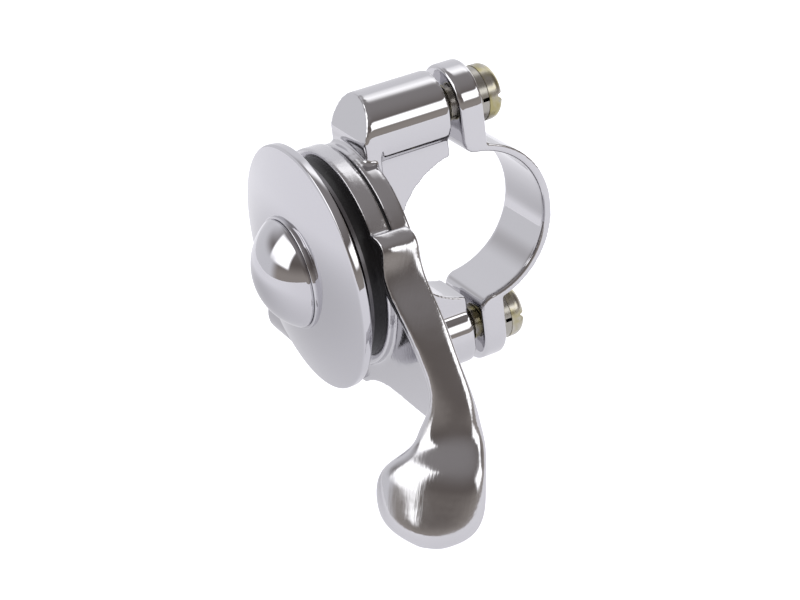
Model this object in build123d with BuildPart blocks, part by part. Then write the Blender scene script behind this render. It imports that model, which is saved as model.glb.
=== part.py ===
"""Friction control lever that clamps to a 7/8 inch handlebar.

The origin is the centre of the handlebar bore. +X runs along the bar, +Z is up, and the lever turns
about the Y axis. The round cover looks towards -Y. A "station" is a distance in front of the bar's
axis, so a face at station s lies at y = -s. Lengths are in millimetres, angles in degrees.
"""
import os
from math import cos, pi, radians, sin, sqrt

from build123d import *

# ---------------------------------------------------------------- driving dimensions
bar_d = 22.23              # 7/8 inch handlebar
bar_r = bar_d / 2

# clamp and its fasteners
clamp_w = 11.2             # width of the clamp and its ears along the bar
band_t = 1.2               # thin band round the bar
ear_t = 3.7
ear_round = 0.55           # along the clip's rims
shoulder_round = 2.0       # where an ear's front meets the bore
ear_root_round = 1.3       # where an ear's back meets the band
split_gap = 1.4            # left between body and ears, so that the screws pull up on the bar
split_station = 1.9        # where the bosses end, in front of the bar's axis
screw_offset = 6.1         # screw axis beyond the bar's surface
screw_r = 2.5
screw_hole_gap = 0.15
screw_grip = 11.0          # thread length in the boss
screw_tip_room = 1.0       # drilled past the screw's end
screw_head_r = 4.05
screw_head_h = 2.5
slot_w = 1.2
slot_depth = 1.1
plain_washer_t = 0.6
plain_washer_r = 4.3
lock_washer_t = 1.2
lock_washer_r = 3.95
lock_washer_slit = 0.5
washer_gap = 0.1           # washers on the screw

# body
boss_r = 5.3
web_w = 7.3                # bar seat's width along the bar
seat_wall = 2.8            # metal between the bar and the flange's back
flange_r = 15.3
flange_t = 2.8
neck_set_back = 1.4        # neck's front face behind the flange's front
neck_depth = 2.4
neck_knee_drop = 0.2       # where the neck's front starts to lean back, below the screws' axis
neck_lean_z = 7.0          # rise of the leaning face ...
neck_lean_y = 2.7          # ... for this much run back
edge_round = 0.3           # broken edges of the castings

# cable stop, on the side away from the thumb pad
stop_boss_r = 3.6
stop_reach = 7.5           # stop's end beyond the flange
stop_boss_len = 7.0
cable_outset = 1.8         # cable's radius on the lever, beyond the hub
casing_r = 2.6             # socket for the cable's outer casing
casing_depth = 5.0
inner_cable_r = 1.1

# lever
hub_r = 15.7
hub_t = 2.8
web_recess = 1.3           # web's front below the hub's front
arm_over = 0.3             # arm's band front below the hub's front
arm_behind = 1.8           # arm's rear edge behind the flange's front
overhang_gap = 0.3         # arm over the flange's rim
step_h = 0.8               # arm's outer face above the hub at its root
step_angle = 31.0
lobe_over = 3.9            # cable quadrant beyond the hub
lobe_end = -132.0
nipple_r = 2.3
nipple_angle = -97.0
cable_slot_w = 1.7
travel_up = 36.0
travel_down = 58.0
travel_spare = 1.5         # degrees left between the stop pin and the slot's ends

# friction stack
rear_washer_t = 0.4
rear_washer_r = 15.0
front_washer_t = 1.6
front_washer_r = 14.4
plate_t = 0.5
plate_r = 14.8
cover_washer_t = 1.3
cover_washer_r = 13.6
cover_washer_in = 11.6
spring_r = 11.0
spring_t = 0.7
bush_wall = 1.5
shoulder_r = 4.0
bush_gap = 0.03
stack_gap = 0.15           # fixed washers round the shoulder
pivot_thread_r = 2.5
pivot_thread_len = 4.2
pivot_head_r = 4.6
pivot_head_h = 2.0
star_washer_t = 0.4
stop_pin_r = 1.25
stop_pin_circle = 10.5     # radius at which the stop pin stands
stop_pin_depth = 2.2
stop_slot_depth = 1.7
stop_slot_gap = 0.15

# cover and dome
cover_r = 17.6
cover_edge_t = 1.2
cover_crown = 2.4
spring_recess = 1.0
cap_r = 8.1
cap_collar_t = 0.5
cap_dome_r = 7.75
cap_dome_h = 4.7
cap_wall = 0.8
cap_spigot_w = 0.8
cap_spigot_h = 0.8

# ---------------------------------------------------------------- worked-out sizes
screw_z = bar_r + screw_offset
ear_front = split_station - split_gap
flange_back = bar_r + seat_wall
flange_front = flange_back + flange_t
hub_back = flange_front + rear_washer_t
hub_front = hub_back + hub_t
web_front = hub_front - web_recess
arm_front = hub_front - arm_over
cable_station = (hub_back + hub_front) / 2
plate_back = hub_front + front_washer_t
plate_front = plate_back + plate_t
cover_back = plate_front + cover_washer_t
cover_edge = cover_back + cover_edge_t
crown_r = (cover_r**2 + cover_crown**2) / (2 * cover_crown)
cap_base = cover_edge + cover_crown - (crown_r - sqrt(crown_r**2 - cap_r**2))
bush_bore_r = shoulder_r + bush_gap
bush_r = bush_bore_r + bush_wall
overhang_r = flange_r + overhang_gap
root_r = hub_r + step_h
lobe_r = hub_r + lobe_over
cable_r = hub_r + cable_outset
arm_back = flange_front - arm_behind
neck_front = flange_front - neck_set_back
neck_back = neck_front - neck_depth
neck_knee_z = screw_z - neck_knee_drop
stop_end_x = -flange_r - stop_reach
lug_x = stop_end_x + stop_boss_len / 2
ear_back = ear_front - ear_t
lock_front = ear_back - plain_washer_t
head_front = lock_front - lock_washer_t


def station(s):
    """Plane across the pivot axis, facing the front, with X to the right and Z up."""
    return Plane.XZ.offset(s)


def polar(r, angle):
    """Point in such a plane."""
    return (r * cos(radians(angle)), r * sin(radians(angle)))


def save(piece, name):
    """Label a finished piece and write its STEP file."""
    piece.part.label = name
    export_step(piece.part, f"parts/{name}.step")


os.makedirs("parts", exist_ok=True)

# ---------------------------------------------------------------- body
with BuildPart() as body:
    with BuildSketch(Plane.XY) as flange_profile:
        with Locations((flange_r / 2, -flange_back - flange_t / 2)):
            Rectangle(flange_r, flange_t)
        fillet(flange_profile.vertices().group_by(Axis.X)[-1], edge_round)
    revolve(axis=Axis.Y)
    # bar seat: a flat web behind the flange, as tall as the bosses' axes
    with BuildSketch(Plane.YZ):
        with Locations((-(split_station + flange_back) / 2, 0)):
            Rectangle(flange_back - split_station, 2 * screw_z)
    extrude(amount=web_w / 2, both=True)
    # the two screw bosses run forward into the necks
    with BuildSketch(station(split_station)):
        with Locations((0, screw_z), (0, -screw_z)):
            Circle(boss_r)
    extrude(amount=neck_front - split_station)
    with BuildSketch(station(neck_back)):
        with Locations((0, screw_z / 2 + flange_r / 4), (0, -screw_z / 2 - flange_r / 4)):
            Rectangle(2 * boss_r, screw_z - flange_r / 2)
    extrude(amount=neck_depth)
    # each neck's front leans back above its knee
    with BuildSketch(Plane.YZ):
        for side in (1, -1):
            with BuildLine():
                Polyline(
                    (-neck_front - 1, side * neck_knee_z),
                    (-neck_front, side * neck_knee_z),
                    (-neck_front + 2 * neck_lean_y, side * (neck_knee_z + 2 * neck_lean_z)),
                    (-neck_front - 1, side * (neck_knee_z + 2 * neck_lean_z)),
                    close=True,
                )
            make_face()
    extrude(amount=clamp_w, both=True, mode=Mode.SUBTRACT)
    # lug and barrel of the cable stop
    with BuildSketch(station(flange_back)):
        with BuildLine():
            Polyline(
                polar(flange_r - 1, 180),
                (stop_end_x + 1.5, -cable_r + stop_boss_r - 0.6),
                (stop_end_x + 1.5, -cable_r - stop_boss_r + 1.2),
                (lug_x + 3.5, -cable_r - stop_boss_r + 1.2),
                polar(flange_r - 1, -105),
                close=True,
            )
        make_face()
        Circle(flange_r - 2)
    extrude(amount=flange_t)
    with BuildSketch(Plane.YZ.offset(stop_end_x)):
        with Locations((-cable_station, -cable_r)):
            Circle(stop_boss_r)
    extrude(amount=stop_boss_len)
    # room for the bar
    with BuildSketch(Plane.YZ):
        Circle(bar_r)
    extrude(amount=cover_r * 2, both=True, mode=Mode.SUBTRACT)
    # cable stop's socket and the small hole for the inner cable
    with BuildSketch(Plane.YZ.offset(stop_end_x)):
        with Locations((-cable_station, -cable_r)):
            Circle(casing_r)
    extrude(amount=casing_depth, mode=Mode.SUBTRACT)
    with BuildSketch(Plane.YZ.offset(stop_end_x)):
        with Locations((-cable_station, -cable_r)):
            Circle(inner_cable_r)
    extrude(amount=stop_boss_len, mode=Mode.SUBTRACT)
    # tapped holes for the clamp screws, the pivot screw and the stop pin
    with BuildSketch(station(split_station)):
        with Locations((0, screw_z), (0, -screw_z)):
            Circle(screw_r)
    extrude(amount=screw_grip + screw_tip_room, mode=Mode.SUBTRACT)
    with BuildSketch(station(flange_front - pivot_thread_len - 0.3)):
        Circle(pivot_thread_r)
    extrude(amount=pivot_thread_len + 0.3, mode=Mode.SUBTRACT)
    with BuildSketch(station(flange_front - stop_pin_depth)):
        with Locations(polar(stop_pin_circle, 90)):
            Circle(stop_pin_r)
    extrude(amount=stop_pin_depth, mode=Mode.SUBTRACT)
save(body, "body")

# ---------------------------------------------------------------- clamp
with BuildPart() as clamp:
    with BuildSketch(Plane.YZ) as clamp_profile:
        Circle(bar_r + band_t)
        with Locations((bar_r * 2 - ear_front, 0)):
            Rectangle(bar_r * 4, bar_r * 4, mode=Mode.INTERSECT)
        with Locations((ear_t / 2 - ear_front, 0)):
            Rectangle(ear_t, 2 * (screw_z + clamp_w / 2))
        Circle(bar_r, mode=Mode.SUBTRACT)
        corners = clamp_profile.vertices().filter_by(lambda v: abs(v.Y) < bar_r + band_t)
        fillet(corners.filter_by(lambda v: v.X < 0), shoulder_round)
        fillet(corners.filter_by(lambda v: v.X > 0), ear_root_round)
    extrude(amount=clamp_w / 2, both=True)
    # ears end in half rounds about the screws
    with BuildSketch(station(ear_front + 1)):
        SlotCenterToCenter(2 * screw_z, clamp_w, rotation=90)
    extrude(amount=-(bar_r + band_t + ear_front + 2), mode=Mode.INTERSECT)
    # the rounding runs on round the whole clip, bore included
    rims = clamp.edges().filter_by(lambda e: abs(e.center().Z) > screw_z + clamp_w / 4)
    fillet(rims, ear_round)
    with BuildSketch(station(ear_front)):
        with Locations((0, screw_z), (0, -screw_z)):
            Circle(screw_r + screw_hole_gap)
    extrude(amount=-ear_t, mode=Mode.SUBTRACT)
save(clamp, "clamp")

# ---------------------------------------------------------------- clamp screws and washers
for name, side in (("upper", 1), ("lower", -1)):
    with BuildPart() as plain_washer:
        with BuildSketch(station(ear_back)):
            with Locations((0, side * screw_z)):
                Circle(plain_washer_r)
                Circle(screw_r + washer_gap, mode=Mode.SUBTRACT)
        extrude(amount=-plain_washer_t)
    save(plain_washer, f"plain_washer_{name}")

    with BuildPart() as lock_washer:
        with BuildSketch(station(lock_front)):
            with Locations((0, side * screw_z)):
                Circle(lock_washer_r)
                Circle(screw_r + washer_gap, mode=Mode.SUBTRACT)
            with Locations((lock_washer_r / 2 + screw_r / 2, side * screw_z)):
                Rectangle(lock_washer_r, lock_washer_slit, rotation=25, mode=Mode.SUBTRACT)
        extrude(amount=-lock_washer_t)
    save(lock_washer, f"lock_washer_{name}")

    with BuildPart() as clamp_screw:
        with BuildSketch(station(head_front)):
            with Locations((0, side * screw_z)):
                Circle(screw_head_r)
        extrude(amount=-screw_head_h)
        fillet(clamp_screw.edges().sort_by(Axis.Y)[-1], screw_head_h * 0.62)
        with BuildSketch(station(head_front - screw_head_h)):
            with Locations((0, side * screw_z)):
                Rectangle(2 * screw_head_r, slot_w)
        extrude(amount=slot_depth, mode=Mode.SUBTRACT)
        with BuildSketch(station(head_front)):
            with Locations((0, side * screw_z)):
                Circle(screw_r)
        extrude(amount=split_station - head_front + screw_grip)
        chamfer(clamp_screw.edges().sort_by(Axis.Y)[0], 0.5)
    save(clamp_screw, f"clamp_screw_{name}")

# ---------------------------------------------------------------- lever
arm_root = polar(root_r, step_angle)
arm_middle = (arm_back + arm_front) / 2


def blade_section(across, forward, down, width, thickness, squareness, lean, tilt, twist):
    """Cross-section of the arm and its thumb pad.

    across, forward and down place the middle of the outer face from the arm's root. lean turns the
    face to the front, tilt turns it up and twist turns the section about the blade's own length.
    squareness 0 is an ellipse, and towards 1 the corners fill out. Twisted sections bulge outwards.
    """
    turn = radians(lean)
    rise = radians(tilt)
    outward = Vector(cos(rise) * cos(turn), -cos(rise) * sin(turn), sin(rise))
    face = Vector(arm_root[0] + across, -arm_middle - forward, arm_root[1] - down)
    plane = Plane(
        origin=face - outward * (thickness / 2),
        x_dir=Vector(-sin(turn), -cos(turn), 0),
        z_dir=Vector(sin(rise) * cos(turn), -sin(rise) * sin(turn), -cos(rise)),
    ).rotated((0, 0, -twist))
    bulge = thickness * (0.5 + twist / 160)
    points = []
    for k in range(24):
        c = cos(2 * pi * k / 24)
        s = sin(2 * pi * k / 24)
        points.append((
            width / 2 * abs(c) ** (1 - squareness) * (1 if c > 0 else -1),
            (thickness - bulge) * s ** (1 - squareness) if s > 0 else -bulge * abs(s) ** (1 - squareness),
        ))
    with BuildSketch(plane) as section:
        with BuildLine():
            Spline(*points, periodic=True)
        make_face()
    return section.sketch


# the arm starts as an even band, then flares forward and out into a crowned leaf
with BuildPart() as blade:
    loft([
        blade_section(0.0, 0.30, 0.0, 5.4, 2.4, 0.75, 3, 31, 0),
        blade_section(3.1, 0.45, 4.5, 5.6, 2.4, 0.72, 9, 34, 0),
        blade_section(6.2, 0.40, 9.1, 5.5, 2.5, 0.70, 12, 33, 0),
        blade_section(8.7, 0.20, 12.8, 5.2, 2.6, 0.65, 13, 29, 0),
        blade_section(10.8, 0.05, 16.7, 5.1, 2.8, 0.58, 15, 26, 2),
        blade_section(12.5, 0.25, 20.2, 5.9, 3.2, 0.42, 18, 24, 6),
        blade_section(13.5, 1.45, 23.7, 8.3, 3.9, 0.20, 22, 26, 11),
        blade_section(14.5, 3.60, 26.6, 11.7, 4.6, 0.08, 26, 28, 17),
        blade_section(15.2, 6.10, 29.5, 15.1, 5.0, 0.04, 28, 26, 22),
        blade_section(16.1, 7.19, 32.3, 15.2, 5.0, 0.04, 28, 22, 22),
        blade_section(17.0, 8.05, 34.7, 13.2, 4.8, 0.04, 28, 20, 22),
        blade_section(17.5, 8.35, 36.4, 8.9, 3.9, 0.04, 28, 17, 22),
        blade_section(17.6, 8.50, 37.3, 3.8, 1.9, 0.04, 28, 15, 22),
    ])

web_outer = (hub_r + 9.3, -12.6)
web_low = (hub_r + 7.4, -16.6)
web_waist = (18.6, -16.9)

with BuildPart() as lever:
    # web, and the quadrant that carries the cable's nipple
    with BuildSketch(station(hub_back)):
        with BuildLine():
            Line((0, 0), polar(root_r - 1, step_angle - 1))
            Spline(polar(root_r - 1, step_angle - 1), (hub_r + 4.1, -1.2), web_outer)
            Line(web_outer, web_low)
            Spline(web_low, web_waist, (13.6, -16.8), polar(lobe_r, -84))
            ThreePointArc(polar(lobe_r, -84), polar(lobe_r, -108), polar(lobe_r, lobe_end))
            Line(polar(lobe_r, lobe_end), (0, 0))
        make_face()
    extrude(amount=web_front - hub_back)
    with BuildSketch(station(hub_back)):
        with BuildLine():
            Line((0, 0), polar(lobe_r, nipple_angle + 10))
            ThreePointArc(polar(lobe_r, nipple_angle + 10), polar(lobe_r, -108), polar(lobe_r, lobe_end))
            Line(polar(lobe_r, lobe_end), (0, 0))
        make_face()
    extrude(amount=hub_t)
    add(blade.part)
    # the arm passes over the flange's rim
    with BuildSketch(station(hub_back)):
        Circle(overhang_r)
    extrude(amount=-(hub_back - arm_back + 1), mode=Mode.SUBTRACT)
    # round hub
    with BuildSketch(Plane.XY) as hub_profile:
        with Locations((hub_r / 2, -hub_back - hub_t / 2)):
            Rectangle(hub_r, hub_t)
        fillet(hub_profile.vertices().group_by(Axis.X)[-1], edge_round)
    revolve(axis=Axis.Y)
    # bore for the bush, pocket for the nipple and the groove for the cable
    with BuildSketch(station(hub_back)):
        Circle(bush_r)
    extrude(amount=hub_t, mode=Mode.SUBTRACT)
    with BuildSketch(station(hub_back + 0.5)):
        with Locations(polar(cable_r, nipple_angle)):
            Circle(nipple_r)
    extrude(amount=hub_t, mode=Mode.SUBTRACT)
    with BuildSketch(station(cable_station - cable_slot_w / 2)):
        with BuildLine():
            ThreePointArc(polar(cable_r - 0.8, nipple_angle), polar(cable_r - 0.8, -115), polar(cable_r - 0.8, -136))
            Line(polar(cable_r - 0.8, -136), polar(lobe_r + 1, -136))
            ThreePointArc(polar(lobe_r + 1, -136), polar(lobe_r + 1, -115), polar(lobe_r + 1, nipple_angle))
            Line(polar(lobe_r + 1, nipple_angle), polar(cable_r - 0.8, nipple_angle))
        make_face()
    extrude(amount=cable_slot_w, mode=Mode.SUBTRACT)
    # curved slot for the stop pin
    with BuildSketch(station(hub_back)):
        slot_start = 90 - travel_up - travel_spare
        slot_end = 90 + travel_down + travel_spare
        slot_half = stop_pin_r + stop_slot_gap
        with BuildLine():
            outside = CenterArc((0, 0), stop_pin_circle + slot_half, slot_start, slot_end - slot_start)
            inside = CenterArc((0, 0), stop_pin_circle - slot_half, slot_start, slot_end - slot_start)
            Line(outside @ 0, inside @ 0)
            Line(outside @ 1, inside @ 1)
        make_face()
        with Locations(polar(stop_pin_circle, slot_start), polar(stop_pin_circle, slot_end)):
            Circle(slot_half)
    extrude(amount=stop_slot_depth, mode=Mode.SUBTRACT)
save(lever, "lever")

with BuildPart() as pivot_bush:
    with BuildSketch(station(hub_back)):
        Circle(bush_r)
        Circle(bush_bore_r, mode=Mode.SUBTRACT)
    extrude(amount=hub_t)
save(pivot_bush, "pivot_bush")

# ---------------------------------------------------------------- friction stack
with BuildPart() as rear_friction_washer:
    with BuildSketch(station(flange_front)):
        Circle(rear_washer_r)
        Circle(shoulder_r + stack_gap, mode=Mode.SUBTRACT)
        with Locations(polar(stop_pin_circle, 90)):
            Circle(stop_pin_r, mode=Mode.SUBTRACT)
    extrude(amount=rear_washer_t)
save(rear_friction_washer, "rear_friction_washer")

with BuildPart() as stop_pin:
    with BuildSketch(station(flange_front - stop_pin_depth)):
        with Locations(polar(stop_pin_circle, 90)):
            Circle(stop_pin_r)
    extrude(amount=stop_pin_depth + rear_washer_t + stop_slot_depth - 0.3)
save(stop_pin, "stop_pin")

with BuildPart() as front_friction_washer:
    with BuildSketch(station(hub_front)):
        Circle(front_washer_r)
        Circle(shoulder_r + stack_gap, mode=Mode.SUBTRACT)
    extrude(amount=front_washer_t)
save(front_friction_washer, "front_friction_washer")

with BuildPart() as pressure_plate:
    with BuildSketch(station(plate_back)):
        Circle(plate_r)
        Circle(shoulder_r + stack_gap, mode=Mode.SUBTRACT)
    extrude(amount=plate_t)
save(pressure_plate, "pressure_plate")

with BuildPart() as cover_washer:
    with BuildSketch(station(plate_front)):
        Circle(cover_washer_r)
        Circle(cover_washer_in, mode=Mode.SUBTRACT)
    extrude(amount=cover_washer_t)
save(cover_washer, "cover_washer")

# coned disc spring: its rim stands on the plate, its middle pushes on the cover
spring_in = shoulder_r + 0.4
spring_front = cover_back + spring_recess
with BuildPart() as disc_spring:
    with BuildSketch(Plane.XY):
        with BuildLine():
            Polyline(
                (spring_r, -plate_front),
                (spring_r, -plate_front - spring_t),
                (spring_in, -spring_front),
                (spring_in, -spring_front + spring_t),
                close=True,
            )
        make_face()
    revolve(axis=Axis.Y)
save(disc_spring, "disc_spring")

# ---------------------------------------------------------------- cover, pivot screw and dome
with BuildPart() as cover_disc:
    with BuildSketch(Plane.XY) as cover_profile:
        with BuildLine():
            Line((shoulder_r + stack_gap, -spring_front), (cover_washer_in, -spring_front))
            Line((cover_washer_in, -spring_front), (cover_washer_in, -cover_back))
            Line((cover_washer_in, -cover_back), (cover_r, -cover_back))
            Line((cover_r, -cover_back), (cover_r, -cover_edge))
            mid_r = (cover_r + cap_r) / 2
            mid_s = cover_edge + cover_crown - (crown_r - sqrt(crown_r**2 - mid_r**2))
            ThreePointArc((cover_r, -cover_edge), (mid_r, -mid_s), (cap_r, -cap_base))
            Line((cap_r, -cap_base), (shoulder_r + stack_gap, -cap_base))
            Line((shoulder_r + stack_gap, -cap_base), (shoulder_r + stack_gap, -spring_front))
        make_face()
        fillet(cover_profile.vertices().group_by(Axis.X)[-1], 0.35)
    revolve(axis=Axis.Y)
    # groove that the dome's spigot is pressed into
    with BuildSketch(station(cap_base)):
        Circle(cap_dome_r - cap_wall)
        Circle(cap_dome_r - cap_wall - cap_spigot_w, mode=Mode.SUBTRACT)
    extrude(amount=-cap_spigot_h, mode=Mode.SUBTRACT)
save(cover_disc, "cover_disc")

head_seat = cap_base + star_washer_t
with BuildPart() as star_washer:
    with BuildSketch(station(cap_base)):
        Circle(pivot_head_r)
        Circle(shoulder_r + stack_gap, mode=Mode.SUBTRACT)
    extrude(amount=star_washer_t)
save(star_washer, "star_washer")

with BuildPart() as pivot_screw:
    with BuildSketch(station(flange_front - pivot_thread_len)):
        Circle(pivot_thread_r)
    extrude(amount=pivot_thread_len)
    with BuildSketch(station(flange_front)):
        Circle(shoulder_r)
    extrude(amount=head_seat - flange_front)
    with BuildSketch(station(head_seat)):
        Circle(pivot_head_r)
    extrude(amount=pivot_head_h)
    with BuildSketch(station(head_seat + pivot_head_h)):
        Rectangle(2 * pivot_head_r, slot_w)
    extrude(amount=-slot_depth, mode=Mode.SUBTRACT)
save(pivot_screw, "pivot_screw")

dome_base = cap_base + cap_collar_t
dome_ball = (cap_dome_r**2 + cap_dome_h**2) / (2 * cap_dome_h)
dome_centre = dome_base + cap_dome_h - dome_ball
inner_ball = dome_ball - cap_wall
inner_r = cap_dome_r - cap_wall - cap_spigot_w
with BuildPart() as dome_cap:
    with BuildSketch(Plane.XY):
        with BuildLine():
            Line((0, -dome_base - cap_dome_h), (0, -dome_centre - inner_ball))
            cavity = -dome_centre - sqrt(inner_ball**2 - inner_r**2)
            inner_mid = (inner_ball * sin(radians(20)), -dome_centre - inner_ball * cos(radians(20)))
            ThreePointArc((0, -dome_centre - inner_ball), inner_mid, (inner_r, cavity))
            Polyline(
                (inner_r, cavity),
                (inner_r, -cap_base + cap_spigot_h),
                (inner_r + cap_spigot_w, -cap_base + cap_spigot_h),
                (inner_r + cap_spigot_w, -cap_base),
                (cap_r, -cap_base),
                (cap_r, -dome_base),
                (cap_dome_r, -dome_base),
            )
            dome_mid = (dome_ball * sin(radians(30)), -dome_centre - dome_ball * cos(radians(30)))
            ThreePointArc((cap_dome_r, -dome_base), dome_mid, (0, -dome_base - cap_dome_h))
        make_face()
    revolve(axis=Axis.Y)
save(dome_cap, "dome_cap")
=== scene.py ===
"""Handlebar friction lever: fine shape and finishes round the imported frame.

Everything is in metres in the frame's own axes: X runs along the handlebar, the round cover looks
towards -Y, and the lever turns about a line parallel to Y through the middle of the hub.
"""

from math import asin, cos, degrees, pi, radians, sin, sqrt

import bmesh
import bpy
from mathutils import Matrix, Vector


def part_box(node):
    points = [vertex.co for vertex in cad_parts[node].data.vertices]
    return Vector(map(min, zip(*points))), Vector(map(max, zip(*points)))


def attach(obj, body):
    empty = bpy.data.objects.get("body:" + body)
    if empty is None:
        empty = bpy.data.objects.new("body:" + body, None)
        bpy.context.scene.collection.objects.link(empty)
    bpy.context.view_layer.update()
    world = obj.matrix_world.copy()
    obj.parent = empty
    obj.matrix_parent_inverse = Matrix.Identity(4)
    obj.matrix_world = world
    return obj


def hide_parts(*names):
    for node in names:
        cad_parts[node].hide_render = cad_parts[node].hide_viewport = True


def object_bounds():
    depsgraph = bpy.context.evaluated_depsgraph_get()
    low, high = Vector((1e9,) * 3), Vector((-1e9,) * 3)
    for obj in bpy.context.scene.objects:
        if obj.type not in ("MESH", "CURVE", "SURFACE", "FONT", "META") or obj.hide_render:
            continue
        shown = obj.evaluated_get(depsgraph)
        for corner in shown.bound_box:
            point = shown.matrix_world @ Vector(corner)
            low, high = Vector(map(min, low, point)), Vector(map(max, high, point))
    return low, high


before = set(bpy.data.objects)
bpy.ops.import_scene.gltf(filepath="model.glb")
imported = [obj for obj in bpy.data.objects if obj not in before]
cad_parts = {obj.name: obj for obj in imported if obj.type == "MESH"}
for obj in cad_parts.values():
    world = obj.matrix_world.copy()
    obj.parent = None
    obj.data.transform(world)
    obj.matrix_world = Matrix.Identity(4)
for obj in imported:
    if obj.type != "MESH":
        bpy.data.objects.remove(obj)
cad_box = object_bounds()
MM = 0.001

# ---------------------------------------------------------------- camera
# A long lens held above and to the right of the lever's front, turned a little about its own axis.
camera_turn = radians(64.646)
camera_rise = radians(27.08)
camera_roll = radians(-7.391)
camera_far = 285.444 * MM
camera_side = -8.105 * MM
camera_up = -12.004 * MM
lens_mm = 90.39

back = Vector((
    sin(camera_turn) * cos(camera_rise), -cos(camera_turn) * cos(camera_rise), sin(camera_rise)
))
level = Vector((cos(camera_turn), sin(camera_turn), 0))
upright = back.cross(level)
right = level * cos(camera_roll) + upright * sin(camera_roll)
top = upright * cos(camera_roll) - level * sin(camera_roll)
camera = bpy.data.objects.new("camera", bpy.data.cameras.new("camera"))
camera.data.lens = lens_mm
camera.data.sensor_width = 36
camera.data.clip_start = 0.01
camera.matrix_world = Matrix.Translation(
    right * camera_side + top * camera_up + back * camera_far
) @ Matrix((right, top, back)).transposed().to_4x4()
bpy.context.scene.collection.objects.link(camera)
bpy.context.scene.camera = camera
bpy.context.scene.view_settings.view_transform = "Standard"


# ---------------------------------------------------------------- studio
# A pale light table under the part, and a dim room round it with large soft boxes and a pale sweep
# behind, so that polished chrome has something to mirror. The room shows in reflections only.
def linear(code):
    """Linear colour of an sRGB hex code, with alpha 1."""
    parts = [int(code[i:i + 2], 16) / 255 for i in (1, 3, 5)]
    return [c / 12.92 if c <= 0.04045 else ((c + 0.055) / 1.055) ** 2.4 for c in parts] + [1]


def add(tree, kind, settings=None, **links):
    """A node of that kind. settings are its own options; links fill its sockets with values or outputs."""
    node = tree.nodes.new(kind)
    for name, value in (settings or {}).items():
        setattr(node, name, value)
    for name, value in links.items():
        key = int(name[1:]) if name[0] == "n" and name[1:].isdigit() else name.replace("_", " ")
        socket = node.inputs[key]
        if isinstance(value, bpy.types.NodeSocket):
            tree.links.new(value, socket)
        else:
            socket.default_value = value
    return node


def toward(azimuth, elevation):
    """Direction from the part, azimuth counted from +X towards +Y, in degrees."""
    a, e = radians(azimuth), radians(elevation)
    return Vector((cos(a) * cos(e), sin(a) * cos(e), sin(e)))


# azimuth, elevation, half width, half height and softness of the edge in degrees; strength; colour
soft_boxes = [
    (-98, 33, 21, 18, 3, 2.3, "#FFFFFF"),     # main box, front left
    (38, 21, 18, 9, 3, 2.3, "#FFFFFF"),       # box on the right, behind the bar
    (128, 28, 14, 36, 6, 2.0, "#FFFFFF"),     # strip behind
    (168, 16, 42, 42, 20, 1.0, "#F4F4F8"),    # pale sweep behind the part
    (-145, 3, 40, 18, 10, 0.95, "#F4F4F8"),   # end of the sweep on the left
]
room_floor = linear("#A8A19B")
room_dark = linear("#716A66")
room_ceiling = linear("#9A9696")
# Heights are sines of the elevation. The walls darken from the horizon up to the first, and the ceiling
# takes over between the other two.
walls_dark = 0.42
ceiling_from = 0.35
ceiling_full = 0.95

world = bpy.data.worlds.new("studio")
bpy.context.scene.world = world
world.use_nodes = True
tree = world.node_tree
tree.nodes.clear()
direction = add(tree, "ShaderNodeTexCoord").outputs["Generated"]
height = add(tree, "ShaderNodeSeparateXYZ", Vector=direction).outputs["Z"]
rise = add(tree, "ShaderNodeMapRange", {"interpolation_type": "SMOOTHSTEP"},
           Value=height, From_Min=ceiling_from, From_Max=ceiling_full)
low = add(tree, "ShaderNodeMapRange", {"interpolation_type": "SMOOTHSTEP"},
          Value=height, From_Min=0.0, From_Max=walls_dark)
walls = add(tree, "ShaderNodeMix", {"data_type": "RGBA"},
            n0=low.outputs[0], n6=room_floor, n7=room_dark).outputs[2]
light = add(tree, "ShaderNodeMix", {"data_type": "RGBA"},
            n0=rise.outputs[0], n6=walls, n7=room_ceiling).outputs[2]
for azimuth, elevation, half_w, half_h, soft, strength, colour in soft_boxes:
    ahead = toward(azimuth, elevation)
    sideways = toward(azimuth + 90, 0)
    mask = None
    for axis, half in ((sideways, half_w), (ahead.cross(sideways), half_h)):
        offset = add(tree, "ShaderNodeVectorMath", {"operation": "DOT_PRODUCT"}, n0=direction, n1=axis)
        size = add(tree, "ShaderNodeMath", {"operation": "ABSOLUTE"}, n0=offset.outputs["Value"])
        edge = add(tree, "ShaderNodeMapRange", {"interpolation_type": "SMOOTHSTEP"}, Value=size.outputs[0],
                   From_Min=sin(radians(half + soft)), From_Max=sin(radians(half - soft)))
        mask = edge.outputs[0] if mask is None else add(
            tree, "ShaderNodeMath", {"operation": "MULTIPLY"}, n0=mask, n1=edge.outputs[0]).outputs[0]
    facing = add(tree, "ShaderNodeVectorMath", {"operation": "DOT_PRODUCT"}, n0=direction, n1=ahead)
    front = add(tree, "ShaderNodeMath", {"operation": "GREATER_THAN"}, n0=facing.outputs["Value"], n1=0.0)
    mask = add(tree, "ShaderNodeMath", {"operation": "MULTIPLY"}, n0=mask, n1=front.outputs[0]).outputs[0]
    glow = [c * strength for c in linear(colour)[:3]] + [1]
    light = add(tree, "ShaderNodeMix", {"data_type": "RGBA"}, n0=mask, n6=light, n7=glow).outputs[2]
seen = add(tree, "ShaderNodeLightPath").outputs["Is Camera Ray"]
shown = add(tree, "ShaderNodeMix", {"data_type": "RGBA"}, n0=seen, n6=light, n7=linear("#FFFFFF")).outputs[2]
add(tree, "ShaderNodeOutputWorld",
    Surface=add(tree, "ShaderNodeBackground", Color=shown).outputs[0])

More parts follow.
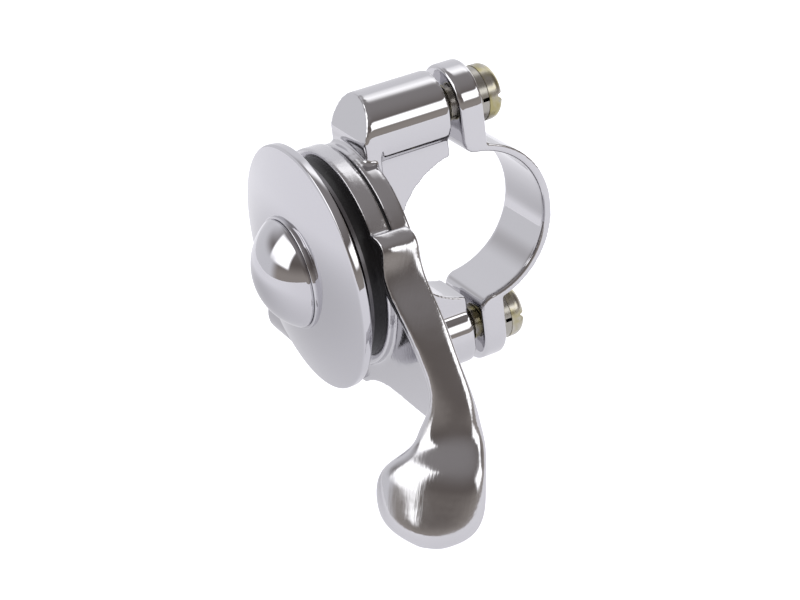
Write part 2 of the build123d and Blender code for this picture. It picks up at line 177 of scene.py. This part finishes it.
# The table reaches 28 cm each way from the lever's pivot, just below the object at rest: the lever swings
# through it when it is turned down. Its glow carries a painted shadow, dimmer round a spot at the front left
# in reflections, and seen directly it is bright enough to be plain white.
table_half = 0.28
# painted shadow in the table's glow: the spot's centre, its inner and outer radius and its level
painted_shadow_spot = (-0.045, -0.050)
painted_shadow_from = 0.01
painted_shadow_to = 0.085
painted_shadow_level = 0.6
full_level = 1.08
lamp_strength = 0.76
white_out = 1.6
table_gap = 0.4 * MM
table_z = cad_box[0].z - table_gap
table = bpy.data.objects.new("light_table", bpy.data.meshes.new("light_table"))
table.data.from_pydata(
    [(x * table_half, y * table_half, table_z) for x, y in ((-1, -1), (1, -1), (1, 1), (-1, 1))],
    [], [(0, 1, 2, 3)],
)
bpy.context.scene.collection.objects.link(table)
paper = bpy.data.materials.new("translucent_table_top")
paper.use_nodes = True
tree = paper.node_tree
tree.nodes.clear()
place = add(tree, "ShaderNodeTexCoord").outputs["Object"]
# painted shadow: the glow drops to the shadow's level round the spot, in reflections only
far = add(tree, "ShaderNodeVectorMath", {"operation": "DISTANCE"}, n0=place, n1=(*painted_shadow_spot, table_z))
lit = add(tree, "ShaderNodeMapRange", {"interpolation_type": "SMOOTHSTEP"}, Value=far.outputs["Value"],
          From_Min=painted_shadow_from, From_Max=painted_shadow_to, To_Min=painted_shadow_level, To_Max=full_level)
seen = add(tree, "ShaderNodeLightPath").outputs["Is Camera Ray"]
clear = add(tree, "ShaderNodeMath", {"operation": "MULTIPLY"}, n0=seen, n1=white_out)
level_of_light = add(tree, "ShaderNodeMath", {"operation": "MAXIMUM"}, n0=lit.outputs[0], n1=clear.outputs[0])
lamp = add(tree, "ShaderNodeMath", {"operation": "MULTIPLY"}, n0=level_of_light.outputs[0], n1=lamp_strength)
add(tree, "ShaderNodeOutputMaterial", Surface=add(
    tree, "ShaderNodeBsdfPrincipled", Base_Color=linear("#A4A4A6"), Roughness=0.7,
    Emission_Color=linear("#FAFAFF"), Emission_Strength=lamp.outputs[0],
).outputs[0])
table.data.materials.append(paper)


# ---------------------------------------------------------------- body
# Pressure die-cast zinc, ground, buffed and plated with nickel and bright chrome. Buffing leaves every
# edge a little rounded and the flats very slightly wavy.
def finish(piece, material):
    """Gives a piece its one material."""
    piece.data.materials.clear()
    piece.data.materials.append(material)


def chrome(name, tint, wave_mm, wave_depth_mm, haze):
    """Bright chrome: pale grey with a cool cast. wave is the buffing's unevenness, haze the roughness."""
    material = bpy.data.materials.new(name)
    material.use_nodes = True
    tree = material.node_tree
    tree.nodes.clear()
    place = add(tree, "ShaderNodeTexCoord").outputs["Object"]
    waves = add(tree, "ShaderNodeTexNoise", Vector=place, Scale=1 / (wave_mm * MM), Detail=1.0, Roughness=0.3)
    bump = add(tree, "ShaderNodeBump", Height=waves.outputs[0], Distance=wave_depth_mm * MM, Strength=1.0)
    patches = add(tree, "ShaderNodeTexNoise", Vector=place, Scale=1 / (4 * MM), Detail=3.0)
    rough = add(tree, "ShaderNodeMapRange", Value=patches.outputs[0],
                From_Min=0.3, From_Max=0.7, To_Min=haze * 0.6, To_Max=haze * 1.5)
    shader = add(tree, "ShaderNodeBsdfPrincipled", Base_Color=linear(tint), Metallic=1.0,
                 Roughness=rough.outputs[0], Normal=bump.outputs[0])
    add(tree, "ShaderNodeOutputMaterial", Surface=shader.outputs[0])
    return material


def buff(piece, grain_mm, passes):
    """Rebuilds a piece's surface evenly and rounds its edges, as the buffing wheel does."""
    skin = piece.modifiers.new("even_skin", "REMESH")
    skin.mode = "VOXEL"
    skin.voxel_size = grain_mm * MM
    skin.use_smooth_shade = True
    wheel = piece.modifiers.new("buffing", "SMOOTH")
    wheel.factor = 0.5
    wheel.iterations = passes


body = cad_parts["body"]
buff(body, 0.28, 5)
finish(body, chrome("chromed_zinc_casting", "#C9C8CB", 7, 0.006, 0.05))


# ---------------------------------------------------------------- lever
# A zinc casting like the body, rebuilt on a finer grain. Its pad is dressed along its length on a belt
# before plating, which leaves fine streaks, and its chrome is a little hazier.
thumb_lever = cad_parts["lever"]
buff(thumb_lever, 0.2, 10)
dressed = chrome("chromed_lever", "#C9C8CB", 9, 0.008, 0.12)
tree = dressed.node_tree
place = add(tree, "ShaderNodeTexCoord").outputs["Object"]
# roughly the pad's length, and the direction across it
run = Vector((0.30, -0.42, -0.86)).normalized()
side = run.cross(Vector((0, 0, 1))).normalized()
streak_mm = 0.35
streak_length = 14
streak_depth_mm = 0.011
strips = [
    add(tree, "ShaderNodeVectorMath", {"operation": "DOT_PRODUCT"},
        n0=place, n1=axis / (size * MM)).outputs["Value"]
    for axis, size in ((run, streak_mm * streak_length), (side, streak_mm), (run.cross(side), streak_mm))
]
streaks = add(tree, "ShaderNodeTexNoise", Scale=1.0, Detail=2.0, Vector=add(
    tree, "ShaderNodeCombineXYZ", X=strips[0], Y=strips[1], Z=strips[2]).outputs[0])
first_bump = tree.nodes["Bump"]
belt = add(tree, "ShaderNodeBump", Height=streaks.outputs[0], Distance=streak_depth_mm * MM, Strength=1.0,
           Normal=first_bump.outputs[0])
tree.links.new(belt.outputs[0], tree.nodes["Principled BSDF"].inputs["Normal"])
finish(thumb_lever, dressed)


# ---------------------------------------------------------------- bar clip
# Bent from steel strip with thick ears, then buffed and chromed like the castings. Its metal is thin, so
# it is rebuilt on a finer grain than the body's.
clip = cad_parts["clamp"]
buff(clip, 0.22, 5)
finish(clip, chrome("chromed_steel_strip", "#CAC9CC", 6, 0.005, 0.05))


# ---------------------------------------------------------------- cover disc and dome
# Both are turned from brass, polished to a mirror and chromed. The cover is very slightly crowned, and
# the dome's spigot is pressed in a groove in the cover's front.
def turned(name, outline, steps=256):
    """Spins an outline of (radius, y) points about the hub's axis into one closed skin."""
    mesh = bmesh.new()
    rings = []
    for r, y in outline:
        if r < 1e-7:
            rings.append([mesh.verts.new((0, y, 0))])
        else:
            angles = [2 * pi * k / steps for k in range(steps)]
            rings.append([mesh.verts.new((r * cos(angle), y, r * sin(angle))) for angle in angles])
    for a, b in zip(rings, rings[1:] + rings[:1]):
        if len(a) == 1 and len(b) == 1:
            continue
        for k in range(steps):
            n = (k + 1) % steps
            if len(a) == 1:
                corners = [a[0], b[n], b[k]]
            elif len(b) == 1:
                corners = [a[k], a[n], b[0]]
            else:
                corners = [a[k], a[n], b[n], b[k]]
            mesh.faces.new(corners)
    bmesh.ops.recalc_face_normals(mesh, faces=mesh.faces)
    piece = bpy.data.objects.new(name, bpy.data.meshes.new(name))
    mesh.to_mesh(piece.data)
    mesh.free()
    piece.data.polygons.foreach_set("use_smooth", [True] * len(piece.data.polygons))
    bpy.context.scene.collection.objects.link(piece)
    return piece


def arc(centre, radius, start, end, steps):
    """Points on an arc in the (radius, y) plane, angles in degrees from +radius towards +y."""
    return [
        (centre[0] + radius * cos(radians(start + (end - start) * k / steps)),
         centre[1] + radius * sin(radians(start + (end - start) * k / steps)))
        for k in range(steps + 1)
    ]


def replace(piece, node, material):
    """Puts a finely made piece in place of a still node."""
    piece.data.set_sharp_from_angle(angle=radians(35))
    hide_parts(node)
    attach(piece, "housing")
    finish(piece, material)


mirror = chrome("mirror_chrome", "#C8C7CB", 11, 0.002, 0.035)
cover_low, cover_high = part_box("cover_disc")
dome_low, dome_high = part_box("dome_cap")
cover_r = cover_high.x
cover_back = cover_high.y
cover_front = cover_low.y
rim_thick = 1.2 * MM
rim_round = 0.28 * MM
cover_edge = cover_back - rim_thick
bore_r = 4.15 * MM
bore_sink = 0.1 * MM
recess_r = 11.6 * MM
recess_deep = 1.0 * MM
recess_y = cover_back - recess_deep
cap_r = dome_high.x
# centre of the crowned face's sphere, from the face's outer and inner edges
crown_y = (cover_r**2 + cover_edge**2 - cap_r**2 - cover_front**2) / (2 * (cover_edge - cover_front))
crown_r = sqrt(cover_r**2 + (cover_edge - crown_y)**2)
crown_start = degrees(asin((cover_r - rim_round * 0.9) / crown_r))
crown_end = degrees(asin(cap_r * 0.94 / crown_r))
outline = [(bore_r, recess_y), (recess_r, recess_y), (recess_r, cover_back)]
outline += [(cover_r - rim_round, cover_back)]
outline += arc((cover_r - rim_round, cover_back - rim_round), rim_round, 90, 0, 6)
outline += arc((cover_r - rim_round, cover_edge + rim_round * 0.8), rim_round, 0, -70, 6)
outline += arc((0, crown_y), crown_r, crown_start - 90, crown_end - 90, 40)
outline += [(bore_r, cover_front + bore_sink)]
replace(turned("cover_disc_fine", outline), "cover_disc", mirror)

collar_thick = 0.5 * MM
collar_round = 0.15 * MM
groove_deep = 0.16 * MM
skirt_high = 0.45 * MM
skirt_r = 7.75 * MM
dome_wall = 0.8 * MM
spigot_wide = 0.8 * MM
cavity_high = 1.2 * MM
collar_y = cover_front - collar_thick
skirt_y = collar_y - skirt_high
ball_h = skirt_y - dome_low.y
ball_r = (skirt_r**2 + ball_h**2) / (2 * ball_h)
ball_y = dome_low.y + ball_r
inside_r = skirt_r - dome_wall - spigot_wide
outline = [(0, dome_low.y)]
outline += arc((0, ball_y), ball_r, -88, degrees(asin(skirt_r / ball_r)) - 90, 40)
outline += [(skirt_r, skirt_y + 0.2 * MM), (skirt_r, collar_y - 0.14 * MM)]
outline += [(skirt_r - groove_deep, collar_y - 0.1 * MM), (skirt_r - groove_deep, collar_y)]
outline += arc((cap_r - collar_round, collar_y + collar_round), collar_round, -90, 0, 4)
outline += [(cap_r, cover_front), (skirt_r - dome_wall, cover_front), (skirt_r - dome_wall, dome_high.y)]
outline += [(inside_r, dome_high.y), (inside_r, collar_y - cavity_high), (0, dome_low.y + dome_wall)]
replace(turned("dome_cap_fine", outline), "dome_cap", mirror)


# ---------------------------------------------------------------- friction washers
# Flat rings cut from black fibre sheet: one behind the lever's hub, one in front of it, and one between
# the steel plate and the cover. The two in front show in the gap behind the cover.
def plain(name, tint, metal, rough, grain_mm, grain_depth_mm):
    """One even finish with a fine grain: its size and depth in millimetres."""
    material = bpy.data.materials.new(name)
    material.use_nodes = True
    tree = material.node_tree
    tree.nodes.clear()
    place = add(tree, "ShaderNodeTexCoord").outputs["Object"]
    grain = add(tree, "ShaderNodeTexNoise", Vector=place, Scale=1 / (grain_mm * MM), Detail=3.0)
    bump = add(tree, "ShaderNodeBump", Height=grain.outputs[0], Distance=grain_depth_mm * MM, Strength=1.0)
    shader = add(tree, "ShaderNodeBsdfPrincipled", Base_Color=linear(tint), Metallic=metal,
                 Roughness=rough, Normal=bump.outputs[0])
    add(tree, "ShaderNodeOutputMaterial", Surface=shader.outputs[0])
    return material


def soften(piece, width_mm):
    """Breaks a piece's sharp edges."""
    edge = piece.modifiers.new("broken_edges", "BEVEL")
    edge.width = width_mm * MM
    edge.segments = 3
    edge.limit_method = "ANGLE"
    edge.angle_limit = radians(40)
    edge.harden_normals = True
    piece.data.polygons.foreach_set("use_smooth", [True] * len(piece.data.polygons))


fibre = plain("black_fibre", "#17161A", 0.0, 0.42, 0.5, 0.02)
for node in ("rear_friction_washer", "front_friction_washer", "cover_washer"):
    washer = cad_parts[node]
    soften(washer, 0.08)
    finish(washer, fibre)


# ---------------------------------------------------------------- pressure plate and stop pin
# Plain grey steel. The thin plate lies on the front fibre washer and carries the spring's rim; the pin
# stands in the body's flange and runs in a curved slot in the hub's back.
grey_steel = plain("grey_steel", "#6F6D70", 1.0, 0.32, 0.3, 0.006)
for node in ("pressure_plate", "stop_pin"):
    soften(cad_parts[node], 0.06)
    finish(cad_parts[node], grey_steel)


# ---------------------------------------------------------------- disc spring and star washer
# Dark spring steel. The coned spring stands on the plate and pushes on the cover, and the star washer
# lies under the pivot screw's head.
spring_steel = plain("spring_steel", "#4C4B52", 1.0, 0.3, 0.3, 0.004)
for node in ("disc_spring", "star_washer"):
    soften(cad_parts[node], 0.05)
    finish(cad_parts[node], spring_steel)


# ---------------------------------------------------------------- pivot bush
# Sintered bronze, pressed in the lever's hub. It turns with the lever on the pivot screw's shoulder.
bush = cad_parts["pivot_bush"]
soften(bush, 0.1)
finish(bush, plain("sintered_bronze", "#A8834F", 1.0, 0.38, 0.25, 0.008))


# ---------------------------------------------------------------- pivot screw and washers
# Zinc-plated steel: the shoulder screw under the dome, and a flat washer and a split spring washer under
# each clamp screw's head.
zinc = plain("zinc_steel", "#A9A69F", 1.0, 0.27, 0.4, 0.006)
washers = [f"{kind}_washer_{end}" for kind in ("plain", "lock") for end in ("upper", "lower")]
for node in ["pivot_screw", *washers]:
    soften(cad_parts[node], 0.12)
    finish(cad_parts[node], zinc)


# ---------------------------------------------------------------- clamp screws
# Zinc-plated steel, cut for a screwdriver. Yellow passivation leaves them straw and olive in patches.
straw = bpy.data.materials.new("passivated_steel")
straw.use_nodes = True
tree = straw.node_tree
tree.nodes.clear()
place = add(tree, "ShaderNodeTexCoord").outputs["Object"]
cloud = add(tree, "ShaderNodeTexNoise", Vector=place, Scale=1 / (2.5 * MM), Detail=2.0)
amount = add(tree, "ShaderNodeMapRange", Value=cloud.outputs[0], From_Min=0.4, From_Max=0.62)
tint = add(tree, "ShaderNodeMix", {"data_type": "RGBA"}, n0=amount.outputs[0],
           n6=linear("#B9B5AC"), n7=linear("#A79F74")).outputs[2]
shader = add(tree, "ShaderNodeBsdfPrincipled", Base_Color=tint, Metallic=1.0, Roughness=0.25)
add(tree, "ShaderNodeOutputMaterial", Surface=shader.outputs[0])
for node in ("clamp_screw_upper", "clamp_screw_lower"):
    soften(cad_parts[node], 0.18)
    finish(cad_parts[node], straw)


# ---------------------------------------------------------------- update
# Brings the view layer up to date.
bpy.context.view_layer.update()
